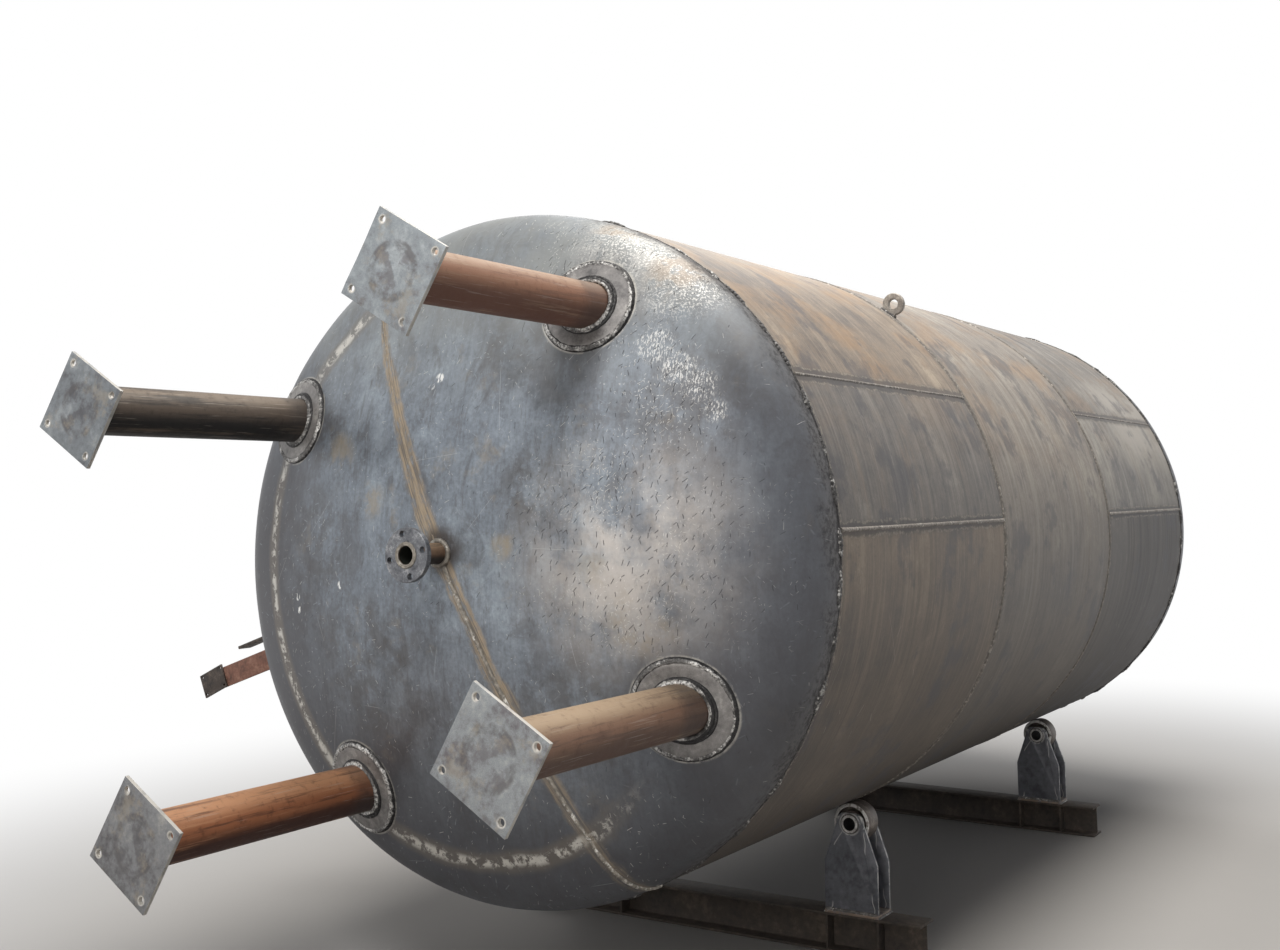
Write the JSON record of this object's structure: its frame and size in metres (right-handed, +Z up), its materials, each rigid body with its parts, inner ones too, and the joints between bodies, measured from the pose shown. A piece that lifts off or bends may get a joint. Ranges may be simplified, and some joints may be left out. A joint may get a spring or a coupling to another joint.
{
  "type": "steel storage tank",
  "caption": "Round steel storage tank with dished ends, legs, nozzles and a manhole, lying on two roller stands as it is being built.",
  "frame": {"origin": "on the floor, in the middle of the underside of the front roller stand's beam, straight below the tank's axis", "axes": "+X along the tank's axis from the legs towards the top head, +Z up, +Y to the left when looking along +X"},
  "size_m": [6.3076, 2.5348, 2.4773],
  "materials": {
    "shell_plate": "bare rolled plate with mill scale",
    "head_plate": "bare pressed plate with blue-grey mill scale",
    "weld_metal": "bare weld beads",
    "leg_pads": "bare plate, scorched",
    "leg_pipes": "bare pipe, light rust",
    "base_plates": "bare plate, heat marked",
    "nozzle_steel": "bare, mottled",
    "manhole_steel": "bare, mottled",
    "lifting_eyes": "bare flame-cut plate",
    "cleat_steel": "rusty",
    "stand_beams": "rusty and dirty",
    "stand_brackets": "bare plate with dark scale",
    "stand_pins": "bare pipe",
    "rollers": "worn bright edges"
  },
  "bodies": {
    "tank_on_stands": {"course_1_plate": "shell_plate", "course_1_closing_strip": "shell_plate", "course_2_plate": "shell_plate", "course_2_closing_strip": "shell_plate", "course_3_plate": "shell_plate", "course_3_closing_strip": "shell_plate", "bottom_head_upper_half": "head_plate", "bottom_head_lower_half": "head_plate", "top_head_upper_half": "head_plate", "top_head_lower_half": "head_plate", "lengthwise_seam_welds": "weld_metal", "girth_seam_welds": "weld_metal", "head_joint_welds": "weld_metal", "head_seam_welds": "weld_metal", "leg_pads": "leg_pads", "leg_pipe_far_upper": "leg_pipes", "base_plate_far_upper": "base_plates", "leg_pipe_near_upper": "leg_pipes", "base_plate_near_upper": "base_plates", "leg_pipe_near_lower": "leg_pipes", "base_plate_near_lower": "base_plates", "leg_pipe_far_lower": "leg_pipes", "base_plate_far_lower": "base_plates", "bottom_nozzle_neck": "nozzle_steel", "bottom_nozzle_flange": "nozzle_steel", "top_nozzle_neck": "nozzle_steel", "top_nozzle_flange": "nozzle_steel", "manhole_neck": "manhole_steel", "manhole_flange": "manhole_steel", "manhole_cover": "manhole_steel", "lifting_eyes": "lifting_eyes", "side_cleat_arm": "cleat_steel", "side_cleat_plate": "cleat_steel", "side_cleat_fin": "cleat_steel", "front_stand_beam": "stand_beams", "front_stand_pins": "stand_pins", "front_stand_bracket_left": "stand_brackets", "front_stand_bracket_right": "stand_brackets", "rear_stand_beam": "stand_beams", "rear_stand_pins": "stand_pins", "rear_stand_bracket_left": "stand_brackets", "rear_stand_bracket_right": "stand_brackets"},
    "front_roller_right": {"front_roller_right": "rollers"},
    "front_roller_left": {"front_roller_left": "rollers"},
    "rear_roller_right": {"rear_roller_right": "rollers"},
    "rear_roller_left": {"rear_roller_left": "rollers"}
  },
  "joints": [
    {"name": "front_roller_right_spin", "type": "hinge", "parent": "tank_on_stands", "child": "front_roller_right", "pos_m": [0, -0.52133, 0.436], "axis": [1, 0, 0], "continuous": true},
    {"name": "front_roller_left_spin", "type": "hinge", "parent": "tank_on_stands", "child": "front_roller_left", "pos_m": [0, 0.52133, 0.436], "axis": [1, 0, 0], "continuous": true},
    {"name": "rear_roller_right_spin", "type": "hinge", "parent": "tank_on_stands", "child": "rear_roller_right", "pos_m": [2.285, -0.52133, 0.436], "axis": [1, 0, 0], "continuous": true},
    {"name": "rear_roller_left_spin", "type": "hinge", "parent": "tank_on_stands", "child": "rear_roller_left", "pos_m": [2.285, 0.52133, 0.436], "axis": [1, 0, 0], "continuous": true}
  ]
}
